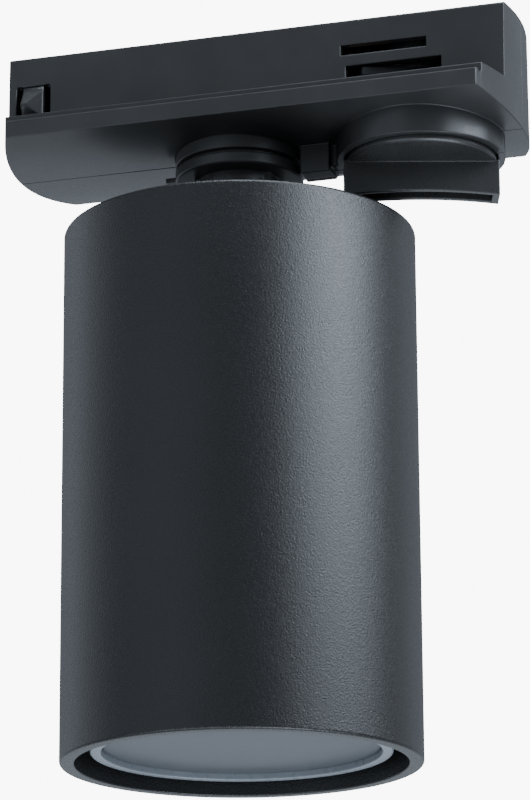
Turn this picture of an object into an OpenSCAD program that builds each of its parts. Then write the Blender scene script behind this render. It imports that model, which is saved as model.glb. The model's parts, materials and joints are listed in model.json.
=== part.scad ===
// Track spotlight: a cylindrical head for a 50 mm twist-lock lamp, on a single-circuit track adapter.
// Z is up. The origin is on the pan axis, in the plane of the adapter's seat on the track's lips.
// X runs along the track, and the locking knob is at the +X end.

/* [Head] */
// Outer diameter of the tube
tube_d = 60; // [58:0.5:64]
// Wall thickness of the tube
tube_wall = 2.5; // [2:0.1:2.8]
// Height of the tube
tube_h = 91.4; // [88:0.1:110]
// Distance from the adapter's seat down to the top of the tube
tube_drop = 20.4; // [20:0.1:24]
// Depth of the lamp's face above the tube's mouth
lamp_recess = 1.9; // [1:0.1:4]
// Diameter of the lamp's face
lamp_d = 50; // [49:0.5:51]

/* [Adapter] */
// Length of the adapter between its round ends, which is also the diameter of those ends
adapter_l = 90; // [88:1:94]
// Distance from the pan axis to the adapter's middle
adapter_shift = 5; // [4:0.5:6]
// Width of the flange that covers the track's mouth
flange_w = 36; // [34:0.5:38]
// Height of the flange's side face
flange_side = 3.1; // [2.5:0.1:3.5]
// How far the underside bulges below the side faces
crown = 1.8; // [1:0.1:2.2]
// How far the flange's outer lip lies below the seat
lip_drop = 1.3; // [1:0.1:1.5]
// Width of the upper body at the seat
body_w = 18.2; // [18:0.1:19]
// Height of the upper body above the seat
body_h = 13.6; // [13:0.1:15]

/* [Swivel] */
// Diameter of the two collars under the adapter
collar_d = 22; // [20:0.5:23]
// Depth of the tilt axis below the seat
tilt_drop = 15.2; // [15:0.1:15.6]

/* [Knob] */
// Distance from the pan axis to the knob's axis
knob_x = 32.2; // [31.5:0.1:33]
// Outer diameter of the ring around the knob
ring_d = 28.6; // [28:0.1:29]
// Angle of the knob's blade from the adapter's length at rest
knob_angle = 17.5; // [10:0.5:20]

/* [Hidden] */
$fn = 96;

plastic = "#2f3437";
paint = "#2d3236";
steel = "#a9adb0";
copper = "#b87a4b";

// Head levels
tube_r = tube_d / 2;
bore_r = tube_r - tube_wall;
tube_top = -tube_drop;
tube_bottom = tube_top - tube_h;
cap_top = tube_top - 1;
cap_t = 2;
lamp_face = tube_bottom + lamp_recess;
lamp_r = lamp_d / 2;
diffuser_r = lamp_r - 2;
lamp_seat = lamp_face + 43;
holder_h = 17;
holder_top = lamp_seat + 0.3 + holder_h;

// Adapter levels
flange_top = -lip_drop;
side_bottom = flange_top - flange_side;
under_z = side_bottom - crown;
crown_r = (pow(flange_w / 2, 2) + crown * crown) / (2 * crown);
wall = 1.8;
floor_z = -2.2;
roof_z = body_h - 1.6;
body_top_w = body_w - 0.8;
room_w = body_w - 2 * wall;
part_gap = 0.1;
seat_edge = flange_w / 2 - 1.6;
groove_r = 0.5;

// Swivel levels
collar_z = -7.85;
collar_recess = -5.2;
fork_top = -8.5;
fork_bottom = -10.6;
bolt_r = 5;
bolt_bore = 3.2;
bolt_top = 3.6;
bolt_end = -10.3;
neck_r = 7.3;
neck_bottom = -12.3;
pocket_y = 4.4;
stop_lug_r = 13;
stop_x = [11.9, 17];
web_y = 2.2;
stop_bottom = -11.2;
tilt_z = -tilt_drop;
fork_in = 4.2;
fork_out = 6.7;
ear_r = 4.5;
tab_out = 3.9;
tab_r = 4;
channel = [2, 2.7];
tilt_r = 1.5;
running = 0.05;

// Knob and rotor levels
ring_bottom = -10;
ring_in = ring_d / 2 - 1.2;
disc_r = ring_in - 0.3;
disc_bottom = -11;
disc_top = -5.3;
pocket_top = -5;
shaft_r = 4;
pivot_r = 2.5;
blade_half = 13.1;
blade_t = 5.2;
blade_bottom = -16.9;
blade_top = disc_bottom + 0.3;
lug_z = [3.3, 4.8];
lug_r = 11.6;
lug_w = 12;
tongue_z = [7.5, 8.5];
tongue_r = 12.3;
tongue_w = 5;
carrier_r = 6;

// Slots in the near wall. The far wall has the same slots, turned half a turn about the knob's axis.
low_slot = [-10.6, 6.1, 3.0, 5.1];
high_slot = [-11.5, 3.5, 7.1, 9.0];

// Latch fingers
latch_x = -36.45;
latch_w = 3.65;
latch_slot = 1.3;
latch_top = 8.4;
latch_bottom = 0.3;
latch_bump = 1.3;
latch_axis_y = (body_w + room_w) / 4 - 0.12;

// Screws across the two shells: [x, z]
shell_screw_at = [[-28.5, 5], [12.5, 5], [46.1, 5]];
screw_r = 1.2;
boss_r = 2.1;

// Terminal block: its two corners, and where its three ways lie across it
terminal_low = [-24, -5.5, floor_z];
terminal_high = [-12, 5.5, 6.5];
terminal_ways = [-3.6, 0, 3.6];

// Wires, and their slightly fuller bends
wire_r = 0.75;
bend_r = 0.82;

// Screws in the head: their radius, their holes' and their heads', and the places of the bracket's screws
small_r = 1.25;
small_hole_r = 1.3;
small_head_r = 2.3;
small_head_h = 1.4;
bracket_x = 18;
bracket_t = 1.2;
holder_screw_x = 9;
lead_x = 5;
knuckle_screw_r = 7;
knuckle_screw_at = [45, 225];

// A round part about Z from its half section, [[radius, z], ...]
module turned(points) {
    rotate_extrude() polygon(points);
}

// A ring about Z between two levels
module ring(r_out, r_in, z_low, z_high) {
    translate([0, 0, z_low]) difference() {
        cylinder(r = r_out, h = z_high - z_low);
        translate([0, 0, -1]) cylinder(r = r_in, h = z_high - z_low + 2);
    }
}

// A box from its two corners
module block(low, high) {
    translate(low) cube(high - low);
}

// A rod along X between two places, at a height of z
module rod_x(r, x_low, x_high, y, z) {
    translate([x_low, y, z]) rotate([0, 90, 0]) cylinder(r = r, h = x_high - x_low);
}

// A rod along Y between two places
module rod_y(r, x, y_low, y_high, z) {
    translate([x, y_high, z]) rotate([90, 0, 0]) cylinder(r = r, h = y_high - y_low);
}

// Everything inside the adapter's plan, which is a round disc cut to the flange's width
module plan_limit(r) {
    translate([adapter_shift, 0, -30]) cylinder(r = r, h = 60, $fn = 180);
}

// The adapter's outer cross-section, [y, z], and the step, groove and lip beside the seat
module adapter_section() {
    half = flange_w / 2;
    polygon([
        [-half, under_z - 1], [half, under_z - 1], [half, flange_top - 0.25], [half - 0.25, flange_top],
        [seat_edge + 2 * groove_r, flange_top], [seat_edge + groove_r, flange_top - 0.6],
        [seat_edge, flange_top - 0.3], [seat_edge, 0], [body_w / 2, 0],
        [body_top_w / 2, body_h - 0.3], [body_top_w / 2 - 0.3, body_h],
        [-body_top_w / 2 + 0.3, body_h], [-body_top_w / 2, body_h - 0.3],
        [-body_w / 2, 0], [-seat_edge, 0], [-seat_edge, flange_top - 0.3],
        [-seat_edge - groove_r, flange_top - 0.6], [-seat_edge - 2 * groove_r, flange_top],
        [-half + 0.25, flange_top], [-half, flange_top - 0.25]
    ]);
}

// The adapter's outside as one solid, with its crowned underside
module adapter_outside() {
    intersection() {
        translate([-60, 0, 0]) rotate([90, 0, 90]) linear_extrude(120) adapter_section();
        plan_limit(adapter_l / 2);
        translate([-60, 0, under_z + crown_r]) rotate([0, 90, 0])
            cylinder(r = crown_r, h = 120, $fn = 360);
    }
    translate([knob_x, 0, ring_bottom]) cylinder(r = ring_d / 2, h = -3 - ring_bottom);
    stop_block();
}

// The block that stops the lug of the part that pans. Its underside rises at the far side, and a web joins it
// to the knob's ring.
module stop_block() {
    half = 3.5;
    translate([stop_x[0], 0, 0]) rotate([90, 0, 90]) linear_extrude(stop_x[1] - stop_x[0]) polygon([
        [-half, -3], [-half, stop_bottom], [half - 2.4, stop_bottom], [half, stop_bottom + 1.8], [half, -3]
    ]);
    block([stop_x[1] - 0.5, -web_y, ring_bottom], [knob_x - ring_in - 0.5, web_y, -3]);
}

// The hollows of the adapter
module adapter_hollows() {
    intersection() {
        block([-60, -room_w / 2, floor_z], [60, room_w / 2, roof_z]);
        plan_limit(adapter_l / 2 - wall);
    }
    translate([0, 0, under_z - 2]) cylinder(r = bolt_r + running, h = 10);
    translate([0, 0, under_z - 2]) cylinder(r = collar_d / 2 + running, h = collar_recess - under_z + 2);
    translate([knob_x, 0, 0]) {
        translate([0, 0, ring_bottom - 1]) cylinder(r = ring_in, h = pocket_top - ring_bottom + 1);
        translate([0, 0, pocket_top - 1]) cylinder(r = shaft_r + running, h = 5);
        translate([0, 0, roof_z - 1]) cylinder(r = pivot_r + running, h = 2);
        contact_slots();
        rotate([0, 0, 180]) contact_slots();
    }
    latch_opening();
    mirror([0, 1, 0]) latch_opening();
}

// The two slots that a wall has for the lug and the tongue, about the knob's axis
module contact_slots() {
    for (s = [low_slot, high_slot])
        block([s[0], -body_w, s[2]], [s[1], -room_w / 2 + 1, s[3]]);
}

// The opening around a latch finger: a slot on each side, with round tops, and a round seat above
module latch_opening() {
    for (x = [latch_x - latch_slot, latch_x + latch_w]) {
        block([x, -body_w, 0], [x + latch_slot, -room_w / 2 + 1, latch_top - latch_slot / 2]);
        rod_y(latch_slot / 2, x + latch_slot / 2, -body_w, -room_w / 2 + 1, latch_top - latch_slot / 2);
    }
    block([latch_x, -body_w, 0], [latch_x + latch_w, -room_w / 2 + 1, latch_top - 0.8]);
    rod_x(0.95, latch_x - 0.2, latch_x + latch_w + 0.2, -latch_axis_y, latch_top - 0.8);
}

// Bosses across the near shell, which the screws bite into
module shell_bosses(low, high) {
    for (s = shell_screw_at) rod_y(boss_r, s[0], low, high, s[1]);
}

module near_shell() {
    color(plastic) difference() {
        intersection() {
            union() {
                difference() {
                    adapter_outside();
                    adapter_hollows();
                }
                shell_bosses(-room_w / 2 - 0.5, -part_gap);
            }
            block([-60, -30, -30], [60, -part_gap, 30]);
        }
        for (s = shell_screw_at) rod_y(screw_r, s[0], -room_w / 2 + 0.5, 1, s[1]);
    }
}

module far_shell() {
    color(plastic) difference() {
        intersection() {
            union() {
                difference() {
                    adapter_outside();
                    adapter_hollows();
                }
                shell_bosses(part_gap, room_w / 2 + 0.5);
            }
            block([-60, part_gap, -30], [60, 30, 30]);
        }
        for (s = shell_screw_at) {
            rod_y(screw_r + 0.15, s[0], -1, 20, s[1]);
            rod_y(boss_r + 0.2, s[0], room_w / 2 + 0.2, 20, s[1]);
        }
    }
}

// Screws from the far side, with their heads in the far wall
module shell_screws() {
    color(steel) for (s = shell_screw_at) {
        rod_y(screw_r, s[0], -room_w / 2 + 1, room_w / 2 + 0.3, s[1]);
        difference() {
            rod_y(boss_r, s[0], room_w / 2 + 0.2, room_w / 2 + 1.3, s[1]);
            block([s[0] - 1.5, room_w / 2 + 0.8, s[1] - 0.25], [s[0] + 1.5, 20, s[1] + 0.25]);
        }
    }
}

// A spring finger in the wall. Its wedge snaps under the track's lip.
module latch_finger() {
    y_in = -room_w / 2 - 0.15;
    y_out = -body_w / 2 + 0.05;
    x_end = latch_x + latch_w;
    bump_y = -body_w / 2 - latch_bump;
    rod_x(0.8, latch_x, x_end, -latch_axis_y, latch_top - 0.8);
    block([latch_x, y_out, latch_bottom], [x_end, y_in, latch_top - 0.8]);
    intersection() {
        translate([latch_x, 0, 0]) rotate([90, 0, 90]) linear_extrude(latch_w) polygon([
            [y_out + 0.4, 7.2], [y_out, 7.2], [bump_y, 4.6], [bump_y, 4.1], [y_out, 2.4], [y_out + 0.4, 2.4]
        ]);
        linear_extrude(10) polygon([
            [latch_x, bump_y], [latch_x + 0.9, bump_y], [x_end, y_out], [x_end, y_in], [latch_x, y_in]
        ]);
    }
}

module near_latch() {
    color(plastic) latch_finger();
}

module far_latch() {
    color(plastic) mirror([0, 1, 0]) latch_finger();
}

// The upper collar, fixed in its recess in the underside
module fixed_collar() {
    color(plastic) turned([
        [bolt_r + running, collar_recess], [collar_d / 2, collar_recess], [collar_d / 2, collar_z + 0.3],
        [collar_d / 2 - 0.3, collar_z], [collar_d / 2 - 1.2, collar_z], [collar_d / 2 - 1.2, fork_top + 0.05],
        [bolt_r + running, fork_top + 0.05]
    ]);
}

// The hollow bolt that the head pans on. It is screwed into the lower collar, and the wires go down it.
module hollow_bolt() {
    color(steel) turned([
        [bolt_bore, bolt_end], [bolt_r - 0.4, bolt_end], [bolt_r, bolt_end + 0.4],
        [bolt_r, bolt_top - 0.4], [bolt_r - 0.4, bolt_top], [bolt_bore, bolt_top]
    ]);
}

module bolt_washer() {
    color(steel) ring(6.6, bolt_r + 0.02, floor_z, floor_z + 0.6);
}

module bolt_nut() {
    color(steel) translate([0, 0, floor_z + 0.6]) difference() {
        cylinder(r = 7, h = 3, $fn = 6);
        translate([0, 0, -1]) cylinder(r = bolt_r, h = 5);
    }
}

// Terminal block on the floor of the adapter, with three ways
module terminal_block() {
    color("#d8d6cf") difference() {
        block(terminal_low, terminal_high);
        for (y = terminal_ways) {
            rod_x(1.2, -30, 0, y, 1.5);
            translate([-18, y, 1.5]) cylinder(r = 1.3, h = 10);
        }
    }
}

module terminal_screws() {
    color(steel) for (y = terminal_ways) translate([-18, y, 2.4]) difference() {
        cylinder(r = 1.3, h = 3);
        block([-1.2, -0.25, 2.2], [1.2, 0.25, 4]);
    }
}

// The supply wires run from the terminal block, over the hollow bolt's rim and down its bore
module supply_wires() {
    colors = ["#7a4a2a", "#4c9a4a", "#2c5aa0"];
    for (i = [0 : 2]) {
        y = terminal_ways[i];
        end_y = y * 0.5;
        color(colors[i]) wire([
            [-17, y, 1.5], [-9, y, 1.5], [-4, end_y, 6.2], [-1.5, end_y, 6.8], [0, end_y, 5],
            [0, end_y, fork_bottom + 0.4]
        ]);
    }
}

// A wire with a round, slightly fuller bend at each place that it passes
module wire(points) {
    for (i = [1 : len(points) - 1]) rod_between(wire_r, points[i - 1], points[i]);
    for (i = [1 : len(points) - 2]) translate(points[i]) sphere(r = bend_r);
}

// A rod between any two places
module rod_between(r, a, b) {
    way = b - a;
    long = norm(way);
    translate(a) rotate([0, acos(way[2] / long), atan2(way[1], way[0])]) cylinder(r = r, h = long);
}

// Places something on the knob's axis, turned to the knob's angle at rest
module on_knob() {
    translate([knob_x, 0, 0]) rotate([0, 0, knob_angle]) children();
}

// The locking knob: a disc in the ring, a hollow blade to turn it by, and its shaft
module knob() {
    color(plastic) on_knob() difference() {
        union() {
            turned([
                [0, disc_bottom], [disc_r - 0.4, disc_bottom], [disc_r, disc_bottom + 0.4],
                [disc_r, disc_top], [shaft_r, disc_top], [shaft_r, 11], [pivot_r, 11],
                [pivot_r, 12.8], [0, 12.8]
            ]);
            knob_blade();
        }
        block([-blade_half + 1.2, -blade_t / 2 + 1, blade_bottom - 1],
              [blade_half - 1.2, blade_t / 2 - 1, disc_bottom - 1.2]);
    }
}

// The blade's lower edge is hollowed a little between its two ends
module knob_blade() {
    arch_r = 110;
    difference() {
        block([-blade_half, -blade_t / 2, blade_bottom], [blade_half, blade_t / 2, blade_top]);
        translate([0, 10, blade_bottom + 0.8 - arch_r]) rotate([90, 0, 0])
            cylinder(r = arch_r, h = 20, $fn = 360);
    }
}

// A flat strip with round ends about the knob's axis, from r_in on one side or through both
module swept_strip(width, r, z, both) {
    intersection() {
        translate([0, 0, z[0]]) cylinder(r = r, h = z[1] - z[0]);
        block([-r - 1, -width / 2, z[0]], [both ? r + 1 : 0, width / 2, z[1]]);
    }
}

// The metal lug that turns out under the track's lips and earths the light
module lock_lug() {
    color(steel) on_knob() difference() {
        swept_strip(lug_w, lug_r, lug_z, true);
        cylinder(r = shaft_r, h = 20);
    }
}

module contact_carrier() {
    color("#e4e0d6") on_knob() difference() {
        translate([0, 0, lug_z[1]]) cylinder(r = carrier_r, h = 5.4);
        cylinder(r = shaft_r, h = 20);
        for (a = [0, 180]) rotate([0, 0, a]) tongue_blank();
    }
}

// A contact tongue from its root in the carrier to its tip
module tongue_blank() {
    difference() {
        swept_strip(tongue_w, tongue_r, tongue_z, false);
        cylinder(r = shaft_r + 0.7, h = 20);
    }
}

module live_tongue() {
    color(copper) on_knob() tongue_blank();
}

module neutral_tongue() {
    color(copper) on_knob() rotate([0, 0, 180]) tongue_blank();
}

// The clip that holds the carrier on the shaft
module rotor_clip() {
    color(steel) on_knob() ring(shaft_r + 1.5, shaft_r, lug_z[1] + 5.4, lug_z[1] + 6.1);
}

// The part that pans: the lower collar with its neck, its stop lug and the two ears that carry the tilt screw
module pan_fork() {
    color(plastic) difference() {
        union() {
            turned([
                [0, fork_bottom], [collar_d / 2 - 0.3, fork_bottom], [collar_d / 2, fork_bottom + 0.3],
                [collar_d / 2, fork_top - 0.2], [collar_d / 2 - 0.2, fork_top], [0, fork_top]
            ]);
            fork_ear();
            mirror([1, 0, 0]) fork_ear();
            translate([0, 0, neck_bottom]) cylinder(r = neck_r, h = fork_bottom - neck_bottom + 0.5);
            block([-stop_lug_r, -1, fork_top - 0.85], [-collar_d / 2 + 1, 1, fork_top - 0.05]);
        }
        translate([0, 0, bolt_end]) cylinder(r = bolt_r, h = 10);
        translate([0, 0, neck_bottom - 1]) cylinder(r = bolt_bore, h = 5);
        block([-fork_in, -pocket_y, neck_bottom - 10], [fork_in, pocket_y, fork_bottom - 0.3]);
        rod_x(tilt_r, -20, 20, 0, tilt_z);
        translate([-fork_out - 1, 0, tilt_z]) rotate([0, 90, 0]) cylinder(r = 3.1, h = 2.4, $fn = 6);
    }
}

// One ear of the fork, round at its lower end
module fork_ear() {
    rod_x(ear_r, fork_in, fork_out, 0, tilt_z);
    block([fork_in, -ear_r, tilt_z], [fork_out, ear_r, fork_bottom + 0.5]);
}

module tilt_screw() {
    color(steel) difference() {
        union() {
            rod_x(tilt_r, -fork_out, fork_out + 0.1, 0, tilt_z);
            rod_x(2.8, fork_out, fork_out + 1.3, 0, tilt_z);
        }
        block([fork_out + 0.7, -3, tilt_z - 0.35], [fork_out + 3, 3, tilt_z + 0.35]);
    }
}

module tilt_nut() {
    color(steel) difference() {
        translate([-fork_out - 0.6, 0, tilt_z]) rotate([0, 90, 0]) cylinder(r = 3.05, h = 2, $fn = 6);
        rod_x(tilt_r, -20, 0, 0, tilt_z);
    }
}

module friction_washers() {
    color("#c9b98f") for (s = [-1, 1]) difference() {
        rod_x(3.4, s * 4.05 - 0.1, s * 4.05 + 0.1, 0, tilt_z);
        rod_x(tilt_r + 0.02, -20, 20, 0, tilt_z);
    }
}

// The tube, with softened edges at its top and mouth
module tube() {
    edge = 0.5;
    color(paint) turned([
        [bore_r, tube_bottom + 0.3], [bore_r + 0.3, tube_bottom], [tube_r - edge, tube_bottom],
        [tube_r, tube_bottom + edge], [tube_r, tube_top - edge], [tube_r - edge, tube_top],
        [bore_r, tube_top]
    ]);
}

// The plate that closes the tube's top
module top_cap() {
    color(paint) difference() {
        translate([0, 0, cap_top - cap_t]) cylinder(r = bore_r - 0.02, h = cap_t);
        translate([0, 0, cap_top - 5]) cylinder(r = 3, h = 10);
        knuckle_screw_places() translate([0, 0, cap_top - 5]) cylinder(r = small_hole_r, h = 10);
        for (s = [-1, 1]) translate([s * bracket_x, 0, cap_top - 5]) cylinder(r = small_hole_r, h = 10);
    }
}

// The knuckle on the cap: a round foot, and a tongue that turns on the tilt screw. The wires' channel goes up
// through both, past the screw.
module head_knuckle() {
    color(plastic) difference() {
        union() {
            translate([0, 0, cap_top]) cylinder(r = 9.5, h = 1);
            rod_x(tab_r, -tab_out, tab_out, 0, tilt_z);
            block([-tab_out, -tab_r, cap_top], [tab_out, tab_r, tilt_z]);
        }
        rod_x(tilt_r + running, -20, 20, 0, tilt_z);
        block([-channel[0], -channel[1], cap_top - 1], [channel[0], channel[1], tilt_z + 10]);
        knuckle_screw_places() translate([0, 0, cap_top - 1]) cylinder(r = small_hole_r, h = 5);
    }
}

// The places of the two screws that hold the knuckle
module knuckle_screw_places() {
    for (a = knuckle_screw_at) rotate([0, 0, a]) translate([knuckle_screw_r, 0, 0]) children();
}

// Screws up through the cap into the knuckle's foot
module knuckle_screws() {
    color(steel) knuckle_screw_places() small_screw(cap_top - cap_t, cap_top + 0.95);
}

// A screw that points up, with the underside of its head at z_low and its end at z_high
module small_screw(z_low, z_high) {
    translate([0, 0, z_low]) cylinder(r = small_r, h = z_high - z_low);
    translate([0, 0, z_low - small_head_h]) cylinder(r = small_head_r, h = small_head_h);
}

// The strip that hangs the lampholder under the cap
module holder_bracket() {
    leg = bracket_x + small_head_r + 0.2 + bracket_t;
    foot = bracket_x - 3;
    cap_under = cap_top - cap_t;
    color(steel) difference() {
        union() {
            block([-leg, -5, holder_top], [leg, 5, holder_top + bracket_t]);
            for (a = [0, 180]) rotate([0, 0, a]) {
                block([leg - bracket_t, -5, holder_top], [leg, 5, cap_under]);
                block([foot, -5, cap_under - bracket_t], [leg, 5, cap_under]);
            }
        }
        for (s = [-1, 1]) {
            translate([s * bracket_x, 0, cap_under - 5]) cylinder(r = small_hole_r, h = 10);
            translate([s * holder_screw_x, 0, holder_top - 1]) cylinder(r = 1.6, h = 5);
            translate([s * lead_x, 0, holder_top - 1]) cylinder(r = 1.1, h = 5);
        }
    }
}

module bracket_screws() {
    color(steel) for (s = [-1, 1])
        translate([s * bracket_x, 0, 0]) small_screw(cap_top - cap_t - bracket_t, cap_top - 0.1);
}

// The ceramic lampholder: the lamp's pins turn in the ring-shaped hollow
module lampholder() {
    base = holder_top - holder_h;
    color("#e9e5da") difference() {
        translate([0, 0, base]) cylinder(r = 13.5, h = holder_h);
        translate([0, 0, base - 1]) cylinder(r = 8.6, h = 10);
        for (s = [-1, 1]) {
            translate([s * holder_screw_x, 0, holder_top - 6]) cylinder(r = 1.4, h = 10);
            translate([s * lead_x, 0, base]) cylinder(r = 1.2, h = holder_h + 1);
        }
    }
    color("#e9e5da") translate([0, 0, base]) cylinder(r = 2, h = 9.5);
}

module holder_contacts() {
    base = holder_top - holder_h;
    color(copper) for (s = [-1, 1]) translate([s * 5.2, 0, base + 8.5]) difference() {
        translate([-1.6, -3, 0]) cube([3.2, 6, 0.45]);
        translate([-s * 0.2, 0, -1]) cylinder(r = 0.8, h = 3);
    }
}

module holder_screws() {
    color(steel) for (s = [-1, 1]) translate([s * holder_screw_x, 0, 0]) {
        translate([0, 0, holder_top - 5.5]) cylinder(r = 1.4, h = 5.5 + bracket_t);
        translate([0, 0, holder_top + bracket_t]) cylinder(r = 2.6, h = 1.5);
    }
}

// Two leads from the lampholder up to the hole in the cap
module lamp_leads() {
    base = holder_top - holder_h;
    color("#eceadf") for (s = [-1, 1]) wire([
        [s * lead_x, 0, base + 9], [s * lead_x, 0, holder_top + 2.2], [s * 1.1, 0, cap_top - cap_t - 4],
        [s * 1.1, 0, cap_top + 0.5]
    ]);
}

// The lamp's shell: its rim, its cone and its neck
module lamp_body() {
    color("#c9ccd0") turned([
        [22.6, lamp_face + 3.9], [lamp_r - 0.2, lamp_face + 3.9], [lamp_r - 0.2, lamp_face + 6],
        [23.2, lamp_face + 10], [20.5, lamp_face + 18], [16.8, lamp_face + 26], [14.6, lamp_face + 31],
        [12.6, lamp_face + 31], [14.8, lamp_face + 26], [18.5, lamp_face + 18], [20.8, lamp_face + 10],
        [22.6, lamp_face + 7]
    ]);
}

module lamp_base() {
    color("#e8e8e4") difference() {
        turned([
            [0, lamp_face + 31.2], [14.4, lamp_face + 31.2], [13.6, lamp_face + 39], [12.2, lamp_seat],
            [0, lamp_seat]
        ]);
        translate([0, 0, lamp_seat - 1]) cylinder(r = 2.6, h = 12);
    }
}

module lamp_pins() {
    color(steel) for (s = [-1, 1]) translate([s * 5, 0, lamp_seat]) {
        cylinder(r = 1.5, h = 5);
        translate([0, 0, 5]) cylinder(r = 2.4, h = 2.2);
    }
}

module lamp_bezel() {
    color("#8d949a") turned([
        [diffuser_r + 0.1, lamp_face + 0.2], [diffuser_r + 0.3, lamp_face], [lamp_r - 0.4, lamp_face],
        [lamp_r, lamp_face + 0.4], [lamp_r, lamp_face + 3.8], [diffuser_r + 0.1, lamp_face + 3.8]
    ]);
}

// The diffuser is a shallow dome inside the bezel
module lamp_diffuser() {
    dome_r = 260;
    color("#aab0b4") intersection() {
        translate([0, 0, lamp_face]) cylinder(r = diffuser_r, h = 3.4);
        translate([0, 0, lamp_face + 0.1 + dome_r]) sphere(r = dome_r, $fn = 360);
    }
}

module led_board() {
    color("#f0efe9") translate([0, 0, lamp_face + 8]) cylinder(r = 18.4, h = 1.6);
    color("#f2d35a") for (a = [0 : 60 : 300])
        rotate([0, 0, a]) translate([10, 0, lamp_face + 7.2]) cube([3, 3, 0.8]);
}

near_shell();
far_shell();
shell_screws();
near_latch();
far_latch();
fixed_collar();
hollow_bolt();
bolt_nut();
bolt_washer();
terminal_block();
terminal_screws();
supply_wires();
knob();
lock_lug();
contact_carrier();
live_tongue();
neutral_tongue();
rotor_clip();
pan_fork();
tilt_screw();
tilt_nut();
friction_washers();
tube();
top_cap();
head_knuckle();
knuckle_screws();
holder_bracket();
bracket_screws();
lampholder();
holder_contacts();
holder_screws();
lamp_leads();
lamp_body();
lamp_base();
lamp_pins();
lamp_bezel();
lamp_diffuser();
led_board();
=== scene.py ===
"""Looks of the track spotlight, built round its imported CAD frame. Lengths are in metres."""

import json
import math

import bmesh
import bpy
from mathutils import Matrix, Vector


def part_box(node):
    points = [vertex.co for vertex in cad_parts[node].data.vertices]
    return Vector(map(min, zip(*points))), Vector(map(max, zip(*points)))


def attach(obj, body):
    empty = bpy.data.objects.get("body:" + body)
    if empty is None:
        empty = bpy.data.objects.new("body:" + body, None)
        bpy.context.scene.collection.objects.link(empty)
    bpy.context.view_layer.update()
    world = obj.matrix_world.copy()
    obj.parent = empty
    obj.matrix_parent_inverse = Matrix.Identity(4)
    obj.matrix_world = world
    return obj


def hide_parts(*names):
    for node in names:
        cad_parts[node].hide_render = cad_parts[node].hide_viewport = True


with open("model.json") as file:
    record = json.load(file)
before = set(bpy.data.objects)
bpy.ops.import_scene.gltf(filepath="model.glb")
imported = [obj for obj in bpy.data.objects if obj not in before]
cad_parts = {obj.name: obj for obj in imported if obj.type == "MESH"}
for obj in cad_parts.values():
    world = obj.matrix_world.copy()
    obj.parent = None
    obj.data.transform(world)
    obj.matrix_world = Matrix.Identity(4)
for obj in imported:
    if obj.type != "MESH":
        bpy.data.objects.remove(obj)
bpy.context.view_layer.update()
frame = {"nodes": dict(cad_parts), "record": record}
NODES = frame["nodes"]
scene = bpy.context.scene
MM = 0.001

# ---------------------------------------------------------------- camera, stage and light

VIEW_AZIMUTH = math.radians(16.81)
VIEW_PITCH = math.radians(16.57)
VIEW_ROLL = math.radians(-0.33)
VIEW_FROM = Vector((0.1788, -0.5775, -0.2292))
LENS_MM = 168.12
FLOOR_Z = -2.2
FLOOR_HALF = 3
LIGHT_TINT = (0.79, 0.885, 1.0)
LIGHT_AIM = Vector((0, 0, -0.05))
FILL_STRENGTH = 0.32
SEEN_STRENGTH = 9.0


def add_camera():
    """A long lens, below the object and to the right of its near side, turned up to it."""
    data = bpy.data.cameras.new("camera")
    data.lens = LENS_MM
    data.sensor_width = 36
    camera = bpy.data.objects.new("camera", data)
    scene.collection.objects.link(camera)
    turn = Matrix.Rotation(VIEW_AZIMUTH, 4, "Z") @ Matrix.Rotation(math.pi / 2 + VIEW_PITCH, 4, "X")
    camera.matrix_world = Matrix.Translation(VIEW_FROM) @ turn @ Matrix.Rotation(VIEW_ROLL, 4, "Z")
    data.clip_start = 0.01
    data.clip_end = 50
    scene.camera = camera


def add_softbox(name, azimuth, elevation, distance, size, watts):
    """A soft rectangular light that faces the object, placed by angles in degrees and a distance.

    Azimuth 0 is on the near side, and 90 at the knob's end.
    """
    data = bpy.data.lights.new(name, "AREA")
    data.shape = "RECTANGLE"
    data.size, data.size_y = size
    data.energy = watts
    light = bpy.data.objects.new(name, data)
    scene.collection.objects.link(light)
    a, e = math.radians(azimuth), math.radians(elevation)
    out = Vector((math.sin(a) * math.cos(e), -math.cos(a) * math.cos(e), math.sin(e)))
    light.location = LIGHT_AIM + out * distance
    light.rotation_mode = "QUATERNION"
    light.rotation_quaternion = out.to_track_quat("Z", "Y")
    data.color = LIGHT_TINT
    light.visible_camera = False


def add_world():
    """A white surround, dimmer for what it lights than for what is seen behind the object."""
    world = bpy.data.worlds.new("studio")
    scene.world = world
    world.use_nodes = True
    nodes, links = world.node_tree.nodes, world.node_tree.links
    nodes.clear()
    out = nodes.new("ShaderNodeOutputWorld")
    mix = nodes.new("ShaderNodeMixShader")
    path = nodes.new("ShaderNodeLightPath")
    fill = nodes.new("ShaderNodeBackground")
    fill.inputs["Color"].default_value = (*LIGHT_TINT, 1)
    fill.inputs["Strength"].default_value = FILL_STRENGTH
    seen = nodes.new("ShaderNodeBackground")
    seen.inputs["Color"].default_value = (1, 1, 1, 1)
    seen.inputs["Strength"].default_value = SEEN_STRENGTH
    links.new(path.outputs["Is Camera Ray"], mix.inputs["Fac"])
    links.new(fill.outputs[0], mix.inputs[1])
    links.new(seen.outputs[0], mix.inputs[2])
    links.new(mix.outputs[0], out.inputs["Surface"])


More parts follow.
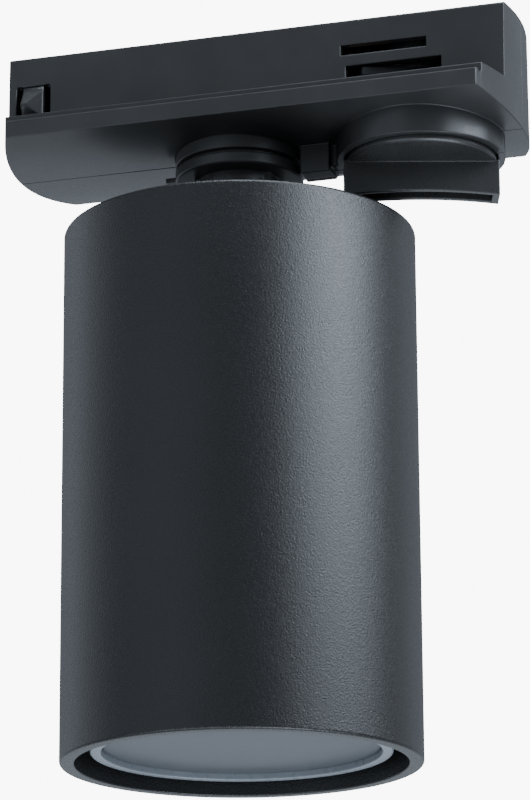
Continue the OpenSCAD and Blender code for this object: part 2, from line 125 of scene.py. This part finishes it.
def add_floor():
    """A plain pale floor, far enough down for the views from below."""
    mesh = bpy.data.meshes.new("floor")
    signs = [(-1, -1), (1, -1), (1, 1), (-1, 1)]
    corners = [(x * FLOOR_HALF, y * FLOOR_HALF, FLOOR_Z) for x, y in signs]
    mesh.from_pydata(corners, [], [(0, 1, 2, 3)])
    floor = bpy.data.objects.new("floor", mesh)
    scene.collection.objects.link(floor)
    material, shader = new_material("pale_floor", (0.8, 0.8, 0.8), 0.8)
    grain = noise(material, 40, 3)
    tint(material, shader, grain, (0.78, 0.78, 0.78), (0.82, 0.82, 0.82))
    mesh.materials.append(material)


# ---------------------------------------------------------------- materials

# The noise values at which a ramp reaches its low and its high end
RAMP_ENDS = (0.35, 0.65)
# How far the lines of drawn metal are stretched, along X, Y and Z
DRAWN_LINES = (1, 1, 6)


def new_material(name, color, roughness, metallic=0.0):
    """A material with one Principled shader. Returns (material, shader)."""
    material = bpy.data.materials.new(name)
    material.use_nodes = True
    shader = material.node_tree.nodes["Principled BSDF"]
    shader.inputs["Base Color"].default_value = (*color, 1)
    shader.inputs["Roughness"].default_value = roughness
    shader.inputs["Metallic"].default_value = metallic
    return material, shader


def noise(material, scale, detail=2.0, roughness=0.5, stretch=None):
    """A noise value over the object's own coordinates. scale is in features to the metre."""
    nodes, links = material.node_tree.nodes, material.node_tree.links
    coordinates = nodes.new("ShaderNodeTexCoord")
    texture = nodes.new("ShaderNodeTexNoise")
    texture.inputs["Scale"].default_value = scale
    texture.inputs["Detail"].default_value = detail
    texture.inputs["Roughness"].default_value = roughness
    source = coordinates.outputs["Object"]
    if stretch:
        mapping = nodes.new("ShaderNodeMapping")
        mapping.inputs["Scale"].default_value = stretch
        links.new(source, mapping.inputs["Vector"])
        source = mapping.outputs["Vector"]
    links.new(source, texture.inputs["Vector"])
    return texture.outputs["Fac"]


def ramp(material, value, low, high):
    """Maps a value to a colour or number between low and high."""
    nodes, links = material.node_tree.nodes, material.node_tree.links
    steps = nodes.new("ShaderNodeValToRGB")
    for stop, position, tone in zip(steps.color_ramp.elements, RAMP_ENDS, (low, high)):
        stop.position = position
        stop.color = (*tone, 1) if isinstance(tone, tuple) else (tone, tone, tone, 1)
    links.new(value, steps.inputs["Fac"])
    return steps.outputs["Color"]


def tint(material, shader, value, low, high):
    """Lets the base colour wander between two tones."""
    material.node_tree.links.new(ramp(material, value, low, high), shader.inputs["Base Color"])


def vary_roughness(material, shader, value, low, high):
    """Lets the roughness wander between two values."""
    material.node_tree.links.new(ramp(material, value, low, high), shader.inputs["Roughness"])


def bump(material, shader, value, depth, strength=1.0, before=None):
    """Adds a bump of a depth in metres, after an earlier bump if there is one."""
    nodes, links = material.node_tree.nodes, material.node_tree.links
    node = nodes.new("ShaderNodeBump")
    node.inputs["Distance"].default_value = depth
    node.inputs["Strength"].default_value = strength
    links.new(value, node.inputs["Height"])
    if before:
        links.new(before.outputs["Normal"], node.inputs["Normal"])
    links.new(node.outputs["Normal"], shader.inputs["Normal"])
    return node


def eased_edges(material, radius):
    """A normal that rounds the edges of a moulding over a radius in metres, so that they catch the light."""
    node = material.node_tree.nodes.new("ShaderNodeBevel")
    node.samples = 8
    node.inputs["Radius"].default_value = radius
    return node


def powder_coat():
    """Fine textured black powder coat with a fine orange peel."""
    material, shader = new_material("powder_coat", (0.0095, 0.0095, 0.0095), 0.3)
    patches = noise(material, 60, 3)
    tint(material, shader, patches, (0.0087, 0.0087, 0.0087), (0.0103, 0.0103, 0.0103))
    peel = bump(material, shader, noise(material, 3400, 2, 0.5), 0.00009, 0.8)
    bump(material, shader, noise(material, 6000, 2, 0.6), 0.00003, 0.8, peel)
    vary_roughness(material, shader, noise(material, 3000, 2), 0.25, 0.34)
    return material


def moulded_plastic(name, color, roughness, grain_depth, edge):
    """Black moulded plastic with a fine spark-eroded grain, and edges eased over a radius in metres."""
    material, shader = new_material(name, color, roughness)
    low = tuple(c * 0.85 for c in color)
    high = tuple(c * 1.18 for c in color)
    tint(material, shader, noise(material, 90, 4), low, high)
    bump(material, shader, noise(material, 4200, 3, 0.6), grain_depth, 0.6, eased_edges(material, edge))
    vary_roughness(material, shader, noise(material, 3200, 2, 0.5), roughness - 0.04, roughness + 0.05)
    return material


def plated_metal(name, color, roughness):
    """Plated or bright metal with fine drawn lines."""
    material, shader = new_material(name, color, roughness, 1.0)
    lines = noise(material, 2500, 4, 0.6, DRAWN_LINES)
    vary_roughness(material, shader, lines, roughness - 0.08, roughness + 0.12)
    tint(material, shader, noise(material, 220, 4), tuple(c * 0.85 for c in color), color)
    bump(material, shader, lines, 0.00001, 0.4)
    return material


def pale_solid(name, color, roughness, grain_scale=2200, grain_depth=0.00003):
    """Ceramic, pale plastic, wire insulation or board: a tone that wanders a little, with a fine grain."""
    material, shader = new_material(name, color, roughness)
    tint(material, shader, noise(material, 160, 4), tuple(c * 0.9 for c in color), color)
    bump(material, shader, noise(material, grain_scale, 3), grain_depth, 0.5)
    vary_roughness(material, shader, noise(material, 700, 3), roughness - 0.05, roughness + 0.07)
    return material


def opal_diffuser():
    """The unlit lamp's opal face: soft and slightly translucent, with a barely uneven tone."""
    material, shader = new_material("diffuser", (0.04, 0.046, 0.054), 0.3)
    shader.inputs["Specular IOR Level"].default_value = 0.38
    shader.inputs["Subsurface Weight"].default_value = 0.2
    shader.inputs["Subsurface Radius"].default_value = (0.002, 0.002, 0.002)
    tint(material, shader, noise(material, 60, 2), (0.039, 0.045, 0.053), (0.041, 0.047, 0.055))
    vary_roughness(material, shader, noise(material, 400, 2), 0.295, 0.305)
    return material


def make_materials():
    """One material for each of the record's slots."""
    return {
        "powder_coat": powder_coat(),
        "adapter_plastic": moulded_plastic(
            "adapter_plastic", (0.0235, 0.0233, 0.0229), 0.33, 0.000012, 0.0004
        ),
        # The swivel is the same black plastic as the adapter, given a lighter base colour as painted light:
        # it lifts the shaded swivel between the adapter and the head.
        "swivel_plastic": moulded_plastic("swivel_plastic", (0.04, 0.0397, 0.039), 0.36, 0.000004, 0.0003),
        "knob_plastic": moulded_plastic("knob_plastic", (0.025, 0.0248, 0.0243), 0.3, 0.000002, 0.0004),
        "zinc_steel": plated_metal("zinc_steel", (0.6, 0.61, 0.62), 0.32),
        "black_steel": plated_metal("black_steel", (0.05, 0.05, 0.052), 0.4),
        "copper_contact": plated_metal("copper_contact", (0.72, 0.42, 0.26), 0.28),
        "white_plastic": pale_solid("white_plastic", (0.72, 0.7, 0.65), 0.45),
        "wire_insulation": pale_solid("wire_insulation", (0.45, 0.4, 0.33), 0.4),
        "fibre_washer": pale_solid("fibre_washer", (0.5, 0.42, 0.27), 0.7, 3000, 0.00005),
        "ceramic": pale_solid("ceramic", (0.78, 0.75, 0.68), 0.55, 1800, 0.00004),
        "lamp_shell": pale_solid("lamp_shell", (0.55, 0.57, 0.6), 0.35),
        "lamp_rim": pale_solid("lamp_rim", (0.2, 0.22, 0.24), 0.3, 900, 0.000004),
        "diffuser": opal_diffuser(),
        "board": pale_solid("board", (0.82, 0.81, 0.77), 0.3),
    }


# ---------------------------------------------------------------- round pieces

# Sizes in mm
TUBE_WALL = 2.5
DIFFUSER_R = 23.0
BEZEL_GAP = 0.1
FACE_RISE = 0.02
FACE_DOME = 0.95
FACE_STEPS = 12
COLLAR_BORE = 5.05
GROOVE_DEPTH = 1.2
GROOVE_HEIGHT = 0.6
# Straight pieces in a rounded corner, and round a finely turned piece
CORNER_STEPS = 6
FINE_SEGMENTS = 256
# The angle in degrees above which an edge of a turned piece stays sharp
SHARP_ANGLE = 35


def rounded(outline):
    """The points of a closed outline in mm, [(radius, z, corner radius), ...], with its corners as arcs."""
    points = []
    count = len(outline)
    for i, (r, z, corner) in enumerate(outline):
        at = Vector((r, z))
        if not corner:
            points.append(at)
            continue
        back = (Vector(outline[i - 1][:2]) - at).normalized()
        on = (Vector(outline[(i + 1) % count][:2]) - at).normalized()
        half = back.angle(on) / 2
        centre = at + (back + on).normalized() * corner / math.sin(half)
        first = at + back * corner / math.tan(half) - centre
        last = at + on * corner / math.tan(half) - centre
        shares = [k / CORNER_STEPS for k in range(CORNER_STEPS + 1)]
        points += [centre + first.slerp(last, share) * corner for share in shares]
    return points


def lathe(name, outline, segments=192):
    """A round piece about the pan axis, turned from its half section."""
    bm = bmesh.new()
    rings = []
    for r, z in rounded(outline):
        steps = segments if r > 0.001 else 1
        angles = [2 * math.pi * k / steps for k in range(steps)]
        rings.append([bm.verts.new(Vector((r * math.cos(a), r * math.sin(a), z)) * MM) for a in angles])
    for a, b in zip(rings, rings[1:] + rings[:1]):
        for i in range(segments):
            j = i + 1
            corners = [a[i % len(a)], a[j % len(a)], b[j % len(b)], b[i % len(b)]]
            corners = list(dict.fromkeys(corners))
            if len(corners) > 2:
                bm.faces.new(corners)
    return mesh_object(name, bm)


def mesh_object(name, bm):
    """Closes a bmesh into an object with smooth faces, and sharp edges above SHARP_ANGLE."""
    bmesh.ops.recalc_face_normals(bm, faces=bm.faces)
    for face in bm.faces:
        face.smooth = True
    for edge in bm.edges:
        edge.smooth = len(edge.link_faces) == 2 and edge.calc_face_angle() < math.radians(SHARP_ANGLE)
    mesh = bpy.data.meshes.new(name)
    bm.to_mesh(mesh)
    bm.free()
    obj = bpy.data.objects.new(name, mesh)
    scene.collection.objects.link(obj)
    return obj


def place(obj, body, slot, materials, *nodes):
    """Says what a piece rides on, its finish, and the CAD nodes that it stands for."""
    obj.data.materials.append(materials[slot])
    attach(obj, body)
    if nodes:
        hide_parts(*nodes)
    return obj


def node_levels(node):
    """A round node's outer radius, and its lower and upper levels, in mm."""
    low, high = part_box(node)
    return high.x / MM, low.z / MM, high.z / MM


def add_tube(materials):
    """The tube, with a softly rounded top edge and mouth."""
    r, low, high = node_levels("tube")
    bore = r - TUBE_WALL
    outline = [(bore, low, 0.25), (r, low, 0.5), (r, high, 0.7), (bore, high, 0.2)]
    tube = lathe("tube_skin", outline, FINE_SEGMENTS)
    place(tube, "head", "powder_coat", materials, "tube")


def add_lamp_front(materials):
    """The lamp's narrow bezel, and its opal face, slightly domed and a step behind it."""
    r, low, high = node_levels("lamp_bezel")
    inner = DIFFUSER_R + BEZEL_GAP
    bezel = [(inner, low, 0.25), (r, low, 0.45), (r, high, 0.2), (inner, high, 0.1)]
    place(lathe("lamp_bezel_skin", bezel, FINE_SEGMENTS), "lamp", "lamp_rim", materials, "lamp_bezel")
    _, face, back = node_levels("lamp_diffuser")
    edge = face + FACE_DOME
    rim = DIFFUSER_R - 0.02
    dome = [(0, face + FACE_RISE, 0)]
    for k in range(1, FACE_STEPS):
        share = k / FACE_STEPS
        dome.append((DIFFUSER_R * share, face + FACE_RISE + (edge - face) * share ** 3, 0))
    dome += [(rim, edge, 0.3), (rim, back, 0), (0, back, 0)]
    place(lathe("lamp_face_skin", dome, FINE_SEGMENTS), "lamp", "diffuser", materials, "lamp_diffuser")


def add_collar(materials):
    """The fixed collar under the adapter, over the groove that parts it from the one that pans."""
    r, low, high = node_levels("fixed_collar")
    groove_r = r - GROOVE_DEPTH
    step = low + GROOVE_HEIGHT
    outline = [
        (COLLAR_BORE, high, 0), (COLLAR_BORE, low, 0), (groove_r, low, 0.05), (groove_r, step, 0.05),
        (r, step, 0.15), (r, high, 0),
    ]
    collar = lathe("fixed_collar_skin", outline)
    place(collar, "adapter", "swivel_plastic", materials, "fixed_collar")


# ---------------------------------------------------------------- finishing the CAD nodes

# Widths of the softened edges, in mm, on the nodes that show
SOFT_EDGES = {
    "near_shell": 0.32,
    "far_shell": 0.32,
    "near_latch": 0.1,
    "far_latch": 0.1,
    "knob": 0.22,
    "pan_fork": 0.18,
    "head_knuckle": 0.15,
    "tilt_screw": 0.1,
    "tilt_nut": 0.1,
    "lock_lug": 0.08,
}
# Points closer than this, in metres, are joined first, and edges sharper than this angle are softened
WELD_DISTANCE = 0.000002
SOFT_ANGLE = 32


def soften(node, width):
    """Rounds a CAD node's sharp edges a little, with modifiers only."""
    obj = NODES[node]
    for face in obj.data.polygons:
        face.use_smooth = True
    weld = obj.modifiers.new("weld", "WELD")
    weld.merge_threshold = WELD_DISTANCE
    bevel = obj.modifiers.new("bevel", "BEVEL")
    bevel.width = width * MM
    bevel.segments = 2
    bevel.limit_method = "ANGLE"
    bevel.angle_limit = math.radians(SOFT_ANGLE)
    bevel.use_clamp_overlap = True
    normals = obj.modifiers.new("normals", "WEIGHTED_NORMAL")
    normals.weight = 50
    normals.keep_sharp = False


def finish_nodes(materials):
    """Gives every CAD node its slot's material, and softens the edges of those that show."""
    for part in frame["record"]["subparts"]:
        obj = NODES[part["node"]]
        obj.data.materials.clear()
        obj.data.materials.append(materials[part["material_slot"]])
    for node, width in SOFT_EDGES.items():
        soften(node, width)


# ---------------------------------------------------------------- the scene

add_camera()
add_world()
add_floor()
add_softbox("key_right", 81, 25, 1.9, (1.95, 1.4), 45)
add_softbox("hot_right", 85, 37, 1.9, (0.8, 1.0), 16.5)
add_softbox("rim_right", 146, 8, 1.9, (1.2, 1.8), 2.0)
add_softbox("fill_left", -34, 10, 1.9, (2.1, 1.6), 4.9)
add_softbox("rim_left", -102, 10, 1.9, (1.8, 1.8), 5.4)
add_softbox("backdrop_low", 197, -4, 2.4, (2.6, 0.9), 2.2)
add_softbox("backdrop_under", 199, -27, 2.4, (2.6, 0.9), 5)
add_softbox("top_box", 40, 75, 1.9, (1.4, 1.4), 34)
add_softbox("low_front", -25, -42, 1.9, (1.6, 1.0), 12)
add_softbox("low_right", 62, -58, 1.9, (1.4, 1.2), 30)
materials = make_materials()
finish_nodes(materials)
add_tube(materials)
add_lamp_front(materials)
add_collar(materials)
